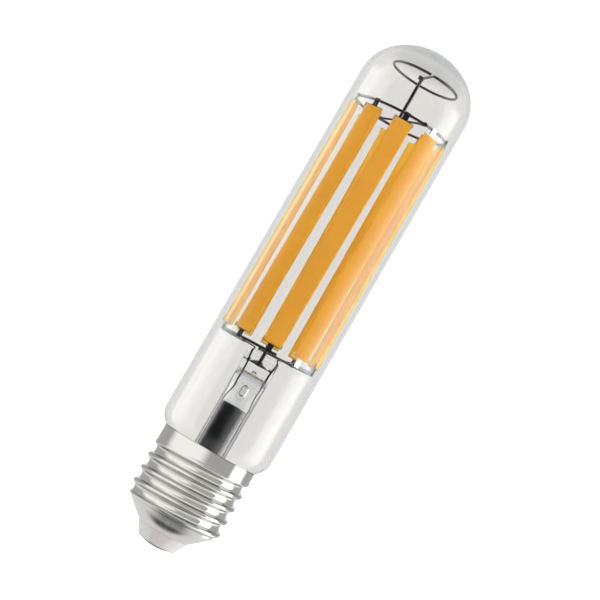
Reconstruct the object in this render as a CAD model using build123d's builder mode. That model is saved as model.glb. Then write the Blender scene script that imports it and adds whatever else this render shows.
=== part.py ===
# Tubular LED filament lamp with a screw cap: ten flat filaments stand in a ring in a clear glass tube.
# Z runs up the lamp's axis from the face of the centre contact, at Z = 0, to the top of the dome.
# The press of the glass stem is wide along X, and the front of the lamp faces -Y.
# Angles round the lamp are counted from the front towards +X. All sizes are in millimetres.

import os
from math import atan2, cos, degrees, radians, sin, tan

from build123d import *

os.makedirs("parts", exist_ok=True)

# Glass envelope
tube_radius = 15.1
glass_wall = 1.0
dome_base = 129.8
dome_rise = 13.1
dome_corner = 12.0
shoulder_top = 32.2
shoulder_radius = 12.9
shoulder_inside = 28.3
neck_radius = 12.3
neck_end = 25.0

# Glass stem and exhaust tube
stem_radius = 4.45
stem_bore = 3.9
flare_thickness = 0.8
flare_bend = 4.0
press_width = 8.9
press_thickness = 4.0
press_edge_round = 1.9
press_blend = 44.0
press_start = 48.0
press_top = 54.8
press_cavity_top = 46.6
exhaust_radius = 1.3
exhaust_bore = 0.7
exhaust_tip = 41.5
blow_hole_height = 48.6

# Filament cage
filament_count = 10
filament_phase = 2.0
filament_circle = 12.85
filament_bottom = 57.6
filament_top = 121.6
filament_width = 5.0
filament_thickness = 1.1
filament_lean = 0.56
cage_tilt = 2.0
ring_circle = 12.7
ring_wire = 0.55
upper_ring_height = 123.4
lower_ring_height = 55.8
half_ring_lead_end = 30.0
half_ring_free_end = 191.0
cross_bar_angle = 26.0
cross_bar_offset = 0.1
cross_bar_wire = 0.5
cross_bar_bite = 0.1

# End clips of the filaments
tab_width = 1.3
tab_thickness = 0.35
tab_reach = 0.3
clip_height = 0.3
clip_ear = 0.2
clip_grip = 1.0

# Support post and centring ring
post_wire = 0.75
post_foot = 51.7
post_top = 135.6
post_foot_offset = -0.15
post_top_offset = -0.55
post_head_length = 1.5
post_head_overhang = 1.0
post_head = 0.9
centring_circle = 8.9
centring_wire = 0.58
centring_link_angle = 8.0
centring_bend = 0.8
centring_turn = 6.0
centring_gap_angle = 7.5

# Lead wires
lead_wire = 0.45
lead_in_press = 3.0
lead_beside_can = 3.63
lead_joggle_bottom = 41.0
lead_joggle_top = 44.0
lead_out = 55.4
lead_bend = 0.5
lead_weld_angle = 2.0

# Screw cap
shell_wall = 0.3
collar_radius = 12.9
collar_bottom = 22.8
collar_top = 27.7
thread_pitch = 3.629
thread_crest_radius = 13.05
thread_root_radius = 11.95
thread_crests = 4
lowest_crest = 9.2
crest_round = 0.75
shell_mouth_radius = 7.1
shell_mouth = 4.05
shell_bulge = 0.35
insulator_foot_radius = 4.9
insulator_foot = 0.75
insulator_seat = 7.4
insulator_seat_radius = 10.05
insulator_rim = 1.6
insulator_boss_radius = 2.7
insulator_boss_top = 4.0
contact_radius = 4.7
contact_flat_radius = 3.2
contact_edge = 0.45
rivet_radius = 1.1
rivet_top = 4.6

# Driver in the cap
board_radius = 10.4
board_thickness = 1.2
board_top = 19.2
can_radius = 3.35
can_top = 39.9
can_foot = 0.3
can_groove = 0.35
can_groove_height = 1.6
component_wire = 0.6
shell_lead_hole = 9.4
shell_lead_rise = 0.8
resistor_radius = 1.2
resistor_length = 6.4
resistor_middle = 12.6
resistor_round = 0.4
inductor_radius = 3.0
inductor_height = 6.5
inductor_offset = 5.2
inductor_flange = 0.9
winding_radius = 2.5
winding_bulge = 0.35
chip_length = 4.8
chip_width = 3.9
chip_offset = 4.0
chip_standoff = 0.15
chip_draft = 6.0
rectifier_height = 2.4
rectifier_legs = 2
driver_ic_height = 1.5
driver_ic_legs = 4
leg_width = 0.5
leg_reach = 1.0
leg_thickness = 0.2

tab_circle = ring_circle + ring_wire / 2 + tab_thickness / 2
filament_length = filament_top - filament_bottom
filament_middle = (filament_top + filament_bottom) / 2
tilt = radians(cage_tilt)
lean = radians(filament_lean)
board_bottom = board_top - board_thickness


def around(angle, radius, height=0.0):
    """A point at an angle from the front, a radius from the axis and a height."""
    return Vector(radius * sin(radians(angle)), -radius * cos(radians(angle)), height)


def cage_height(point, height):
    """The height of a cage part at a point, as the whole cage sits a little askew."""
    return height + point.X * tan(tilt)


def cage_plane(height):
    """The plane of a cage ring, tipped up towards +X, with its X axis to the right."""
    return Plane(origin=(0, 0, height), x_dir=(cos(tilt), 0, sin(tilt)), z_dir=(-sin(tilt), 0, cos(tilt)))


def filament_plane(index, circle):
    """The plane of one strip: X across it, Y up along it and Z out of the lamp."""
    angle = filament_phase + index * 360 / filament_count
    outward = around(angle, 1)
    across = around(angle + 90, 1)
    height = cage_height(outward * filament_circle, filament_middle)
    centre = outward * circle + Vector(0, 0, height)
    return Plane(origin=centre, x_dir=across * cos(lean) - Vector(0, 0, sin(lean)), z_dir=outward)


# Clear envelope: neck, ledge on the collar's rim, shoulder, tube and a dome of two tangent arcs
dome_corner_centre = tube_radius - dome_corner
dome_crown = (dome_corner_centre**2 + dome_rise**2 - dome_corner**2) / (2 * (dome_rise - dome_corner))
dome_crown_centre = dome_base + dome_rise - dome_crown
dome_join = degrees(atan2(dome_crown - dome_rise, dome_corner_centre))
with BuildPart() as glass_envelope:
    with BuildSketch(Plane.XZ):
        with BuildLine():
            bore = tube_radius - glass_wall
            neck_bore = neck_radius - glass_wall
            Line((neck_bore, neck_end), (neck_radius, neck_end))
            Line((neck_radius, neck_end), (neck_radius, collar_top))
            Line((neck_radius, collar_top), (shoulder_radius, collar_top))
            TangentArc((tube_radius, shoulder_top), (shoulder_radius, collar_top), tangent=(0, -1))
            Line((tube_radius, shoulder_top), (tube_radius, dome_base))
            for inset in (0, glass_wall):
                CenterArc((dome_corner_centre, dome_base), dome_corner - inset, 0, dome_join)
                CenterArc((0, dome_crown_centre), dome_crown - inset, dome_join, 90 - dome_join)
            Line((0, dome_base + dome_rise), (0, dome_base + dome_rise - glass_wall))
            Line((bore, dome_base), (bore, shoulder_top))
            TangentArc((bore, shoulder_top), (neck_bore, shoulder_inside), tangent=(0, -1))
            Line((neck_bore, shoulder_inside), (neck_bore, neck_end))
        make_face()
    revolve(axis=Axis.Z)
glass_envelope.part.label = "glass_envelope"
export_step(glass_envelope.part, "parts/glass_envelope.step")

# Support post: a wire standing in the press, with a short head where the centring ring is welded on
post_line = Vector(post_top_offset - post_foot_offset, 0, post_top - post_foot)
with BuildPart() as support_post:
    with BuildSketch(Plane(origin=(post_foot_offset, 0, post_foot), x_dir=(0, 1, 0), z_dir=post_line)):
        Circle(post_wire / 2)
    extrude(amount=post_line.length)
    with BuildSketch(Plane.YZ.offset(post_top_offset - post_head_overhang)):
        with Locations((0, post_top)):
            Circle(post_head / 2)
    extrude(amount=post_head_length)
support_post.part.label = "support_post"
export_step(support_post.part, "parts/support_post.step")

# Centring ring: one wire that runs out from the post and bends into an almost closed ring
link_start = Vector(post_top_offset, 0, post_top) + around(centring_link_angle, post_wire / 2)
link_corner = around(centring_link_angle, centring_circle, post_top)
with BuildPart() as centring_ring:
    with BuildLine():
        turn_end = centring_link_angle + centring_turn
        ring_end = centring_link_angle + 360 - centring_gap_angle
        out = Line(link_start, link_corner - around(centring_link_angle, centring_bend))
        turn_point = around(turn_end, centring_circle, post_top)
        Spline(out @ 1, turn_point, tangents=(out % 1, around(turn_end + 90, 1)))
        half_point = around(turn_end + 180, centring_circle, post_top)
        ThreePointArc(turn_point, around(turn_end + 90, centring_circle, post_top), half_point)
        end_point = around(ring_end, centring_circle, post_top)
        ThreePointArc(half_point, around(turn_end + 270, centring_circle, post_top), end_point)
    with BuildSketch(Plane(origin=out @ 0, z_dir=out % 0)):
        Circle(centring_wire / 2)
    sweep()
    add(support_post.part, mode=Mode.SUBTRACT)
centring_ring.part.label = "centring_ring"
export_step(centring_ring.part, "parts/centring_ring.step")

# Upper collector ring: a closed wire ring that joins the upper ends of all the filaments
with BuildPart(cage_plane(upper_ring_height)) as upper_collector_ring:
    Torus(ring_circle, ring_wire / 2)
upper_collector_ring.part.label = "upper_collector_ring"
export_step(upper_collector_ring.part, "parts/upper_collector_ring.step")

# Cross bar: a straight wire across the collector ring, saddled on the side of the post
bar_middle = around(cross_bar_angle + 90, cross_bar_offset)
bar_middle += Vector(0, 0, cage_height(bar_middle, upper_ring_height))
bar_end = around(cross_bar_angle, ring_circle - cross_bar_bite)
bar_end += around(cross_bar_angle + 90, cross_bar_offset)
bar_end += Vector(0, 0, cage_height(bar_end, upper_ring_height))
with BuildPart() as cross_bar:
    with BuildSketch(Plane(origin=bar_middle, z_dir=bar_end - bar_middle)):
        Circle(cross_bar_wire / 2)
    extrude(amount=(bar_end - bar_middle).length, both=True)
    add(upper_collector_ring.part, mode=Mode.SUBTRACT)
    add(support_post.part, mode=Mode.SUBTRACT)
cross_bar.part.label = "cross_bar"
export_step(cross_bar.part, "parts/cross_bar.step")

# Lower half rings: one under each half of the filaments, half a turn apart
half_rings = {}
for name, turn_angle in (("a", 180), ("b", 0)):
    with BuildPart() as half_ring:
        with BuildLine(cage_plane(lower_ring_height)) as ring_path:
            sweep_angle = half_ring_free_end - half_ring_lead_end
            CenterArc((0, 0), ring_circle, half_ring_lead_end - 90 + turn_angle, sweep_angle)
        with BuildSketch(Plane(origin=ring_path.line @ 0, z_dir=ring_path.line % 0)):
            Circle(ring_wire / 2)
        sweep()
    half_ring.part.label = f"lower_half_ring_{name}"
    export_step(half_ring.part, f"parts/lower_half_ring_{name}.step")
    half_rings[name] = half_ring.part

# Lead wires: up beside the can, through the press and out to the end of a half ring
leads = {}
for name, turn_angle in (("a", 180), ("b", 0)):
    lead_end = around(half_ring_lead_end + lead_weld_angle + turn_angle, ring_circle)
    lead_end += Vector(0, 0, cage_height(lead_end, lower_ring_height))
    with BuildPart() as lead:
        with BuildLine() as lead_path:
            FilletPolyline(
                around(90 + turn_angle, lead_beside_can, board_top),
                around(90 + turn_angle, lead_beside_can, lead_joggle_bottom),
                around(90 + turn_angle, lead_in_press, lead_joggle_top),
                around(90 + turn_angle, lead_in_press, lead_out),
                lead_end,
                radius=lead_bend,
            )
        with BuildSketch(Plane(origin=lead_path.line @ 0, z_dir=lead_path.line % 0)):
            Circle(lead_wire / 2)
        sweep()
        add(half_rings[name], mode=Mode.SUBTRACT)
    lead.part.label = f"lead_wire_{name}"
    export_step(lead.part, f"parts/lead_wire_{name}.step")
    leads[name] = lead.part

# Exhaust tube: hangs under the press, tipped off to a round end
with BuildPart() as exhaust_tube:
    with BuildSketch(Plane.XZ):
        with BuildLine():
            tip_centre = exhaust_tip + exhaust_radius
            tube_end = press_cavity_top
            Line((exhaust_bore, tip_centre + exhaust_bore), (exhaust_bore, tube_end))
            Line((exhaust_bore, tube_end), (exhaust_radius, tube_end))
            Line((exhaust_radius, tube_end), (exhaust_radius, tip_centre))
            CenterArc((0, tip_centre), exhaust_radius, 0, -90)
            Line((0, exhaust_tip), (0, tip_centre))
            CenterArc((0, tip_centre + exhaust_bore), exhaust_bore, -90, 90)
        make_face()
    revolve(axis=Axis.Z)
exhaust_tube.part.label = "exhaust_tube"
export_step(exhaust_tube.part, "parts/exhaust_tube.step")

# Glass stem: a flared tube pinched flat round the wires, with the blow hole above the exhaust tube
with BuildPart() as glass_stem:
    with BuildSketch(Plane.XZ):
        with BuildLine():
            flare_bottom = neck_end - flare_thickness
            FilletPolyline((stem_radius, press_blend), (stem_radius, neck_end), (neck_radius, neck_end),
                           radius=flare_bend)
            Line((neck_radius, neck_end), (neck_radius, flare_bottom))
            FilletPolyline((neck_radius, flare_bottom), (stem_bore, flare_bottom), (stem_bore, press_blend),
                           radius=flare_bend + stem_radius - stem_bore)
            Line((stem_bore, press_blend), (stem_radius, press_blend))
        make_face()
    revolve(axis=Axis.Z)
    with BuildSketch(Plane.XY.offset(press_blend)):
        Circle(stem_radius)
    with BuildSketch(Plane.XY.offset(press_start)):
        RectangleRounded(press_width, press_thickness, press_edge_round)
    loft()
    with BuildSketch(Plane.XY.offset(press_start)):
        RectangleRounded(press_width, press_thickness, press_edge_round)
    extrude(amount=press_top - press_start)
    fillet(glass_stem.edges().group_by(Axis.Z)[-1], radius=press_thickness / 4)
    with BuildSketch(Plane.XZ):
        with BuildLine():
            Polyline((0, press_blend), (stem_bore, press_blend), (exhaust_radius, press_cavity_top),
                     (0, press_cavity_top), close=True)
        make_face()
    revolve(axis=Axis.Z, mode=Mode.SUBTRACT)
    with BuildSketch(Plane.XY.offset(press_cavity_top)):
        Circle(exhaust_bore)
    extrude(amount=blow_hole_height - press_cavity_top, mode=Mode.SUBTRACT)
    with BuildSketch(Plane.XZ):
        with Locations((0, blow_hole_height)):
            Circle(exhaust_radius)
    extrude(amount=press_thickness, mode=Mode.SUBTRACT)
    add(support_post.part, mode=Mode.SUBTRACT)
    for lead_part in leads.values():
        add(lead_part, mode=Mode.SUBTRACT)
glass_stem.part.label = "glass_stem"
export_step(glass_stem.part, "parts/glass_stem.step")

# Filaments with their end clips: each clip grips the strip's end and reaches the ring with a narrow tab
for index in range(filament_count):
    number = f"{index + 1:02d}"
    strip_plane = filament_plane(index, filament_circle)
    strip_foot = strip_plane.from_local_coords((0, -filament_length / 2, 0))
    with BuildPart() as filament:
        with BuildSketch(Plane(origin=strip_foot, x_dir=strip_plane.x_dir, z_dir=strip_plane.y_dir)):
            SlotOverall(filament_width, filament_thickness)
        extrude(amount=filament_length)
    filament.part.label = f"filament_{number}"
    export_step(filament.part, f"parts/filament_{number}.step")

    clip_plane = filament_plane(index, tab_circle)
    for end_name, direction, ring_height, strip_end in (
        ("upper", 1, upper_ring_height, filament_top),
        ("lower", -1, lower_ring_height, filament_bottom),
    ):
        tab_length = abs(ring_height - strip_end) + ring_wire / 2 + tab_reach
        with BuildPart() as clip:
            with BuildSketch(clip_plane):
                end = direction * filament_length / 2
                with Locations((0, end + direction * tab_length / 2)):
                    Rectangle(tab_width, tab_length)
                with Locations((0, end + direction * clip_height / 2)):
                    Rectangle(filament_width + 2 * clip_ear, clip_height)
                ear_middle = end + direction * (clip_height - clip_grip) / 2
                with GridLocations(filament_width + clip_ear, 0, 2, 1):
                    with Locations((0, ear_middle)):
                        Rectangle(clip_ear, clip_height + clip_grip)
            extrude(amount=tab_thickness / 2, both=True)
        clip.part.label = f"{end_name}_tab_{number}"
        export_step(clip.part, f"parts/{end_name}_tab_{number}.step")

# Screw shell: thin sheet with a plain collar, a rolled thread of tangent arcs and a drawn-in mouth
thread_depth = thread_crest_radius - thread_root_radius
flank_angle = 2 * atan2(thread_depth, thread_pitch / 2)
root_round = thread_pitch / 2 / sin(flank_angle) - crest_round
with BuildPart() as cap_shell:
    with BuildSketch(Plane.XZ):
        for inset, mode in ((0, Mode.ADD), (shell_wall, Mode.SUBTRACT)):
            with BuildLine():
                mouth_edge = (shell_mouth_radius - inset, shell_mouth)
                flank_radius = thread_crest_radius - crest_round * (1 - cos(flank_angle)) - inset
                flank_foot = (flank_radius, lowest_crest - crest_round * sin(flank_angle))
                SagittaArc(mouth_edge, flank_foot, -shell_bulge)
                arc_end = flank_foot
                turn = 2 * degrees(flank_angle)
                for crest in range(thread_crests):
                    top_crest = crest == thread_crests - 1
                    crest_arc = JernArc(arc_end, (sin(flank_angle), cos(flank_angle)), crest_round, turn)
                    root_turn = turn / 2 if top_crest else turn
                    root_arc = JernArc(crest_arc @ 1, crest_arc % 1, root_round, -root_turn)
                    arc_end = root_arc @ 1
                Polyline(
                    arc_end,
                    (collar_radius - inset, collar_bottom),
                    (collar_radius - inset, collar_top),
                    (0, collar_top),
                    (0, shell_mouth),
                    mouth_edge,
                )
            make_face(mode=mode)
    revolve(axis=Axis.Z)
cap_shell.part.label = "cap_shell"
export_step(cap_shell.part, "parts/cap_shell.step")

# Cap insulator: a moulded cone that closes the shell's mouth and carries the contact
with BuildPart() as cap_insulator:
    with BuildSketch(Plane.XZ):
        with BuildLine():
            Polyline(
                (rivet_radius, insulator_foot),
                (insulator_foot_radius, insulator_foot),
                (shell_mouth_radius, shell_mouth),
                (shell_mouth_radius - shell_wall, shell_mouth),
                (insulator_seat_radius, insulator_seat),
                (insulator_seat_radius - insulator_rim, insulator_seat),
                (insulator_boss_radius, insulator_boss_top),
                (rivet_radius, insulator_boss_top),
                close=True,
            )
        make_face()
    revolve(axis=Axis.Z)
    add(cap_shell.part, mode=Mode.SUBTRACT)
cap_insulator.part.label = "cap_insulator"
export_step(cap_insulator.part, "parts/cap_insulator.step")

# Centre contact: a flat disc with a turned-up edge and a rivet that holds the wire in a blind hole
with BuildPart() as centre_contact:
    with BuildSketch(Plane.XZ):
        with BuildLine():
            wire_hole = component_wire / 2
            Line((0, 0), (contact_flat_radius, 0))
            TangentArc((contact_flat_radius, 0), (contact_radius, contact_edge), tangent=(1, 0))
            Polyline(
                (contact_radius, contact_edge),
                (contact_radius, insulator_foot),
                (rivet_radius, insulator_foot),
                (rivet_radius, rivet_top),
                (wire_hole, rivet_top),
                (wire_hole, contact_edge),
                (0, contact_edge),
                (0, 0),
            )
        make_face()
    revolve(axis=Axis.Z)
centre_contact.part.label = "centre_contact"
export_step(centre_contact.part, "parts/centre_contact.step")

# Basing cement: the ring between the glass neck and the collar
with BuildPart() as basing_cement:
    with BuildSketch(Plane.XY.offset(neck_end)):
        Circle(collar_radius - shell_wall)
        Circle(neck_radius, mode=Mode.SUBTRACT)
    extrude(amount=collar_top - shell_wall - neck_end)
basing_cement.part.label = "basing_cement"
export_step(basing_cement.part, "parts/basing_cement.step")

# Smoothing capacitor: a sleeved can with a rolled groove, standing on the board inside the stem
with BuildPart() as smoothing_capacitor:
    with BuildSketch(Plane.XZ):
        with BuildLine():
            can_bottom = board_top + can_foot
            groove_bottom = can_bottom + can_groove_height
            Polyline((0, can_top), (0, can_bottom), (can_radius, can_bottom), (can_radius, groove_bottom))
            groove_top = groove_bottom + 4 * can_groove
            neck_point = (can_radius - can_groove, (groove_bottom + groove_top) / 2)
            ThreePointArc((can_radius, groove_bottom), neck_point, (can_radius, groove_top))
            Polyline((can_radius, groove_top), (can_radius, can_top), (0, can_top))
        make_face()
    revolve(axis=Axis.Z)
    fillet(smoothing_capacitor.edges().group_by(Axis.Z)[-1], radius=can_foot)
    with BuildSketch(Plane.XY.offset(board_top)):
        with GridLocations(0, can_radius, 1, 2):
            Circle(component_wire / 2)
    extrude(amount=can_foot)
smoothing_capacitor.part.label = "smoothing_capacitor"
export_step(smoothing_capacitor.part, "parts/smoothing_capacitor.step")

# Driver board: a round board under the stem, with holes for the wires that end in it
with BuildPart() as driver_board:
    with BuildSketch(Plane.XY.offset(board_bottom)):
        Circle(board_radius)
        with Locations((0, 0), (-shell_lead_hole, 0)):
            Circle(component_wire / 2, mode=Mode.SUBTRACT)
    extrude(amount=board_thickness)
driver_board.part.label = "driver_board"
export_step(driver_board.part, "parts/driver_board.step")

# Fuse resistor: a round-ended body on one wire, from the board to the centre contact
with BuildPart() as fuse_resistor:
    with BuildSketch(Plane.XZ):
        with BuildLine():
            body_bottom = resistor_middle - resistor_length / 2
            body_top = resistor_middle + resistor_length / 2
            Polyline(
                (0, contact_edge),
                (wire_hole, contact_edge),
                (wire_hole, body_bottom),
                (resistor_radius, body_bottom),
                (resistor_radius, body_top),
                (wire_hole, body_top),
                (wire_hole, board_top),
                (0, board_top),
                close=True,
            )
        make_face()
    revolve(axis=Axis.Z)
    body_rims = fuse_resistor.edges().filter_by(GeomType.CIRCLE).sort_by(SortBy.RADIUS)[-2:]
    fillet(body_rims, radius=resistor_round)
fuse_resistor.part.label = "fuse_resistor"
export_step(fuse_resistor.part, "parts/fuse_resistor.step")

# Inductor: a drum core under the board, with its winding bulging between two flanges
with BuildPart() as inductor:
    with BuildSketch(Plane(origin=(inductor_offset, 0, board_bottom), x_dir=(1, 0, 0), z_dir=(0, -1, 0))):
        with BuildLine():
            winding_bottom = inductor_flange - inductor_height
            Polyline(
                (winding_radius, winding_bottom),
                (inductor_radius, winding_bottom),
                (inductor_radius, -inductor_height),
                (0, -inductor_height),
                (0, 0),
                (inductor_radius, 0),
                (inductor_radius, -inductor_flange),
                (winding_radius, -inductor_flange),
            )
            SagittaArc((winding_radius, -inductor_flange), (winding_radius, winding_bottom), winding_bulge)
        make_face()
    revolve(axis=Axis((inductor_offset, 0, 0), (0, 0, 1)))
inductor.part.label = "inductor"
export_step(inductor.part, "parts/inductor.step")

# Rectifier and driver chip: moulded bodies under the board, on bent metal legs
for name, side, chip_height, legs_per_side in (
    ("rectifier", 1, rectifier_height, rectifier_legs),
    ("driver_ic", -1, driver_ic_height, driver_ic_legs),
):
    with BuildPart() as chip:
        with BuildSketch(Plane.XY.offset(board_bottom - chip_standoff)):
            with Locations((-chip_offset, side * chip_offset)):
                RectangleRounded(chip_length, chip_width, chip_standoff)
        extrude(amount=-chip_height, taper=chip_draft)
        leg_pitch = chip_length / legs_per_side
        with BuildSketch(Plane.XY.offset(board_bottom)):
            with Locations((-chip_offset, side * chip_offset)):
                with GridLocations(leg_pitch, chip_width + leg_reach, legs_per_side, 2):
                    Rectangle(leg_width, leg_reach)
        extrude(amount=-leg_thickness)
        with BuildSketch(Plane.XY.offset(board_bottom)):
            with Locations((-chip_offset, side * chip_offset)):
                with GridLocations(leg_pitch, chip_width, legs_per_side, 2):
                    Rectangle(leg_width, 2 * leg_thickness)
        extrude(amount=-chip_height / 2)
    chip.part.label = name
    export_step(chip.part, f"parts/{name}.step")

# Shell lead: a bare wire bent up from the board and pressed against the inside of the shell
with BuildPart() as shell_lead:
    with BuildLine() as shell_lead_path:
        wall_contact = thread_root_radius - shell_wall - component_wire / 2
        FilletPolyline(
            (-shell_lead_hole, 0, board_bottom),
            (-shell_lead_hole, 0, board_top + shell_lead_rise),
            (-wall_contact, 0, board_top + 2 * shell_lead_rise),
            (-wall_contact, 0, board_top + 4 * shell_lead_rise),
            radius=component_wire,
        )
    with BuildSketch(Plane.XY.offset(board_bottom)):
        with Locations((-shell_lead_hole, 0)):
            Circle(component_wire / 2)
    sweep()
shell_lead.part.label = "shell_lead"
export_step(shell_lead.part, "parts/shell_lead.step")
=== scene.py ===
# Tubular LED filament lamp, dressed piece by piece in the order in which it is put together.
# Z runs up the lamp's axis from the face of the centre contact, and the front faces -Y.
# Sizes are written in millimetres and turned into metres where a mesh is made.

import math

import bmesh
import bpy
from mathutils import Matrix, Vector, noise


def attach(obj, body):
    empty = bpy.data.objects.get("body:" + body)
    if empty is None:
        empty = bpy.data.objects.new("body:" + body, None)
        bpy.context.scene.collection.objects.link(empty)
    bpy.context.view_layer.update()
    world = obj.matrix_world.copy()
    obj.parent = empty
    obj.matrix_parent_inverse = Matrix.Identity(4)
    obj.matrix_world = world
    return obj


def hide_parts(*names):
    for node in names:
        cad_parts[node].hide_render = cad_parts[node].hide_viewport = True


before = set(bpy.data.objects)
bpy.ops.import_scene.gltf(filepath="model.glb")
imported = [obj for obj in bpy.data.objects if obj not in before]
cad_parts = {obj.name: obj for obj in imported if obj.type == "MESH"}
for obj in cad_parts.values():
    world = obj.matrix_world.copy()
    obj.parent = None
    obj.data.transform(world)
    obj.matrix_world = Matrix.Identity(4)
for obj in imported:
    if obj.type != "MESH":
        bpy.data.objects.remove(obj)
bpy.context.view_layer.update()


# Glass stem with its exhaust tube.
# A flared tube of clear soda glass, pinched flat round the wires while hot (the press), with a thin
# exhaust tube fused under the press and a blow hole above it. The flare is sealed to the neck.
MM = 0.001


def ring(radius, height, steps=96):
    """A level circle of points round the lamp's axis, or one point on the axis."""
    if radius == 0:
        return [Vector((0, 0, height))]
    angles = [2 * math.pi * i / steps for i in range(steps)]
    return [Vector((radius * math.cos(a), radius * math.sin(a), height)) for a in angles]


def arc(centre, radius, start, end, steps):
    """Points (radius, height) along an arc of a profile, with its angles in degrees."""
    angles = [math.radians(start + (end - start) * i / steps) for i in range(steps + 1)]
    return [(centre[0] + radius * math.cos(a), centre[1] + radius * math.sin(a)) for a in angles]


def run(start, end, steps):
    """Points along a straight stretch of a profile, without its first point."""
    shares = [i / steps for i in range(1, steps + 1)]
    return [(start[0] + (end[0] - start[0]) * s, start[1] + (end[1] - start[1]) * s) for s in shares]


def skin(*stacks):
    """Vertices and faces of the skins over stacks of rings, in metres. A ring of one point is a tip."""
    vertices = []
    faces = []
    for rings in stacks:
        starts = []
        for points in rings:
            starts.append(len(vertices))
            vertices.extend(p * MM for p in points)
        for lower, upper in zip(range(len(rings) - 1), range(1, len(rings))):
            a, b = starts[lower], starts[upper]
            steps = max(len(rings[lower]), len(rings[upper]))
            for i in range(steps):
                j = (i + 1) % steps
                if len(rings[lower]) == 1:
                    faces.append((a, b + j, b + i))
                elif len(rings[upper]) == 1:
                    faces.append((a + i, a + j, b))
                else:
                    faces.append((a + i, a + j, b + j, b + i))
    return vertices, faces


def mesh_piece(name, skins, material, slot, *nodes, sharp=40):
    """A smooth mesh on the lamp's one body, creased at its sharp edges, that stands for CAD nodes."""
    mesh = bpy.data.meshes.new(name)
    mesh.from_pydata(skins[0], [], skins[1])
    mesh.shade_smooth()
    mesh.set_sharp_from_angle(angle=math.radians(sharp))
    mesh.materials.append(material)
    piece = bpy.data.objects.new(name, mesh)
    bpy.context.scene.collection.objects.link(piece)
    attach(piece, "root")
    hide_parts(*nodes)
    return piece


def feed(socket, value):
    """Links an output socket to an input socket, or sets the input to a fixed value."""
    if isinstance(value, bpy.types.NodeSocket):
        socket.id_data.links.new(value, socket)
    else:
        socket.default_value = value


def set_inputs(node, **values):
    """Feeds a node's inputs, which are named with underscores for spaces."""
    for name, value in values.items():
        feed(node.inputs[name.replace("_", " ")], value)


def add_node(shader, kind, **settings):
    """A node in a shader's tree. Settings name its properties, or its inputs with underscores for spaces."""
    made = shader.id_data.nodes.new(kind)
    for name, value in settings.items():
        if hasattr(made, name):
            setattr(made, name, value)
        else:
            set_inputs(made, **{name: value})
    return made


def new_material(name, **inputs):
    """A node material and its shader, with the shader's inputs fed."""
    material = bpy.data.materials.new(name)
    material.use_nodes = True
    shader = material.node_tree.nodes["Principled BSDF"]
    set_inputs(shader, **inputs)
    return material, shader


def maths(shader, operation, *values):
    """The result of an operation on numbers and sockets."""
    made = add_node(shader, "ShaderNodeMath", operation=operation)
    for socket, value in zip(made.inputs, values):
        feed(socket, value)
    return made.outputs["Value"]


def scaled(shader, value, low, high, first=0.0, last=1.0):
    """A socket's value, taken from one range to another and held at its ends."""
    ends = {"From_Min": low, "From_Max": high, "To_Min": first, "To_Max": last}
    return add_node(shader, "ShaderNodeMapRange", Value=value, **ends).outputs["Result"]


def lamp_place(shader, stretch=(1, 1, 1)):
    """The place in the lamp, in metres, stretched along each axis."""
    place = add_node(shader, "ShaderNodeTexCoord").outputs["Object"]
    return add_node(shader, "ShaderNodeMapping", Vector=place, Scale=stretch).outputs["Vector"]


def lamp_axis(shader, axis):
    """The place along one axis of the lamp."""
    return add_node(shader, "ShaderNodeSeparateXYZ", Vector=lamp_place(shader)).outputs[axis]


def grain(shader, scale, detail, stretch=(1, 1, 1), roughness=0.5):
    """Noise through the lamp, finer with a larger scale."""
    settings = {"Scale": scale, "Detail": detail, "Roughness": roughness}
    return add_node(shader, "ShaderNodeTexNoise", Vector=lamp_place(shader, stretch), **settings).outputs["Fac"]


def add_bump(shader, height, strength, distance):
    """Bump from a height socket, with its depth in metres."""
    bump = add_node(shader, "ShaderNodeBump", Height=height, Strength=strength, Distance=distance)
    set_inputs(shader, Normal=bump.outputs["Normal"])


def tinted(shader, share, first, second):
    """A colour between two others, each a socket or a fixed colour, by the share of a socket."""
    mix = add_node(shader, "ShaderNodeMix", data_type="RGBA", Factor=share)
    for socket, colour in zip([s for s in mix.inputs if s.type == "RGBA"], (first, second)):
        feed(socket, (*colour, 1) if isinstance(colour, tuple) else colour)
    return [s for s in mix.outputs if s.type == "RGBA"][0]


def glass_material(name, colour, wave_scale, wave_depth):
    """Clear glass and its shader, with the slow waves that drawing and blowing leave in it."""
    material, shader = new_material(name, Base_Color=(*colour, 1), Roughness=0.0, IOR=1.5, Transmission_Weight=1.0)
    add_bump(shader, grain(shader, wave_scale, 1.0), 1.0, wave_depth)
    return material, shader


stem_radius = 4.45
stem_bore = 3.9
flare_radius = 12.3
flare_top = 25.0
flare_bottom = 24.2
flare_bend = 4.0
press_foot = 43.0
press_top = 54.8
press_edge = 1.1
press_squareness = 3.4
press_half_depths = ((43.0, 4.45), (48.9, 2.05), (51.3, 1.95), (51.7, 2.08), (52.1, 2.2))
press_half_depths += ((52.5, 2.3), (53.0, 2.41), (53.5, 2.47), (54.8, 2.47))
cavity_half_depths = ((43.0, 3.9), (47.45, 1.1), (48.3, 0.75), (48.6, 0.45), (48.75, 0.02))
cavity_half_widths = ((43.0, 3.9), (47.0, 3.75), (48.75, 3.3))
exhaust_radius = 1.3
exhaust_bore = 0.7
exhaust_tip = 41.5
exhaust_top = 46.5
exhaust_edge = 0.3
exhaust_end = 0.6
blow_hole_radius = 0.7
blow_hole_foot = 49.2
pinch_height = 48.4


def between(stations, height):
    """A size on the straight lines between stations (height, size)."""
    for (low, first), (high, second) in zip(stations, stations[1:]):
        if height <= high:
            return first + (second - first) * min(max((height - low) / (high - low), 0), 1)
    return stations[-1][1]


def softened(stations, height, reach=0.15):
    """Such a size with the corners at the stations rounded over a reach."""
    shares = (-1, -0.5, 0, 0.5, 1)
    return sum(between(stations, height + reach * share) for share in shares) / len(shares)


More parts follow.
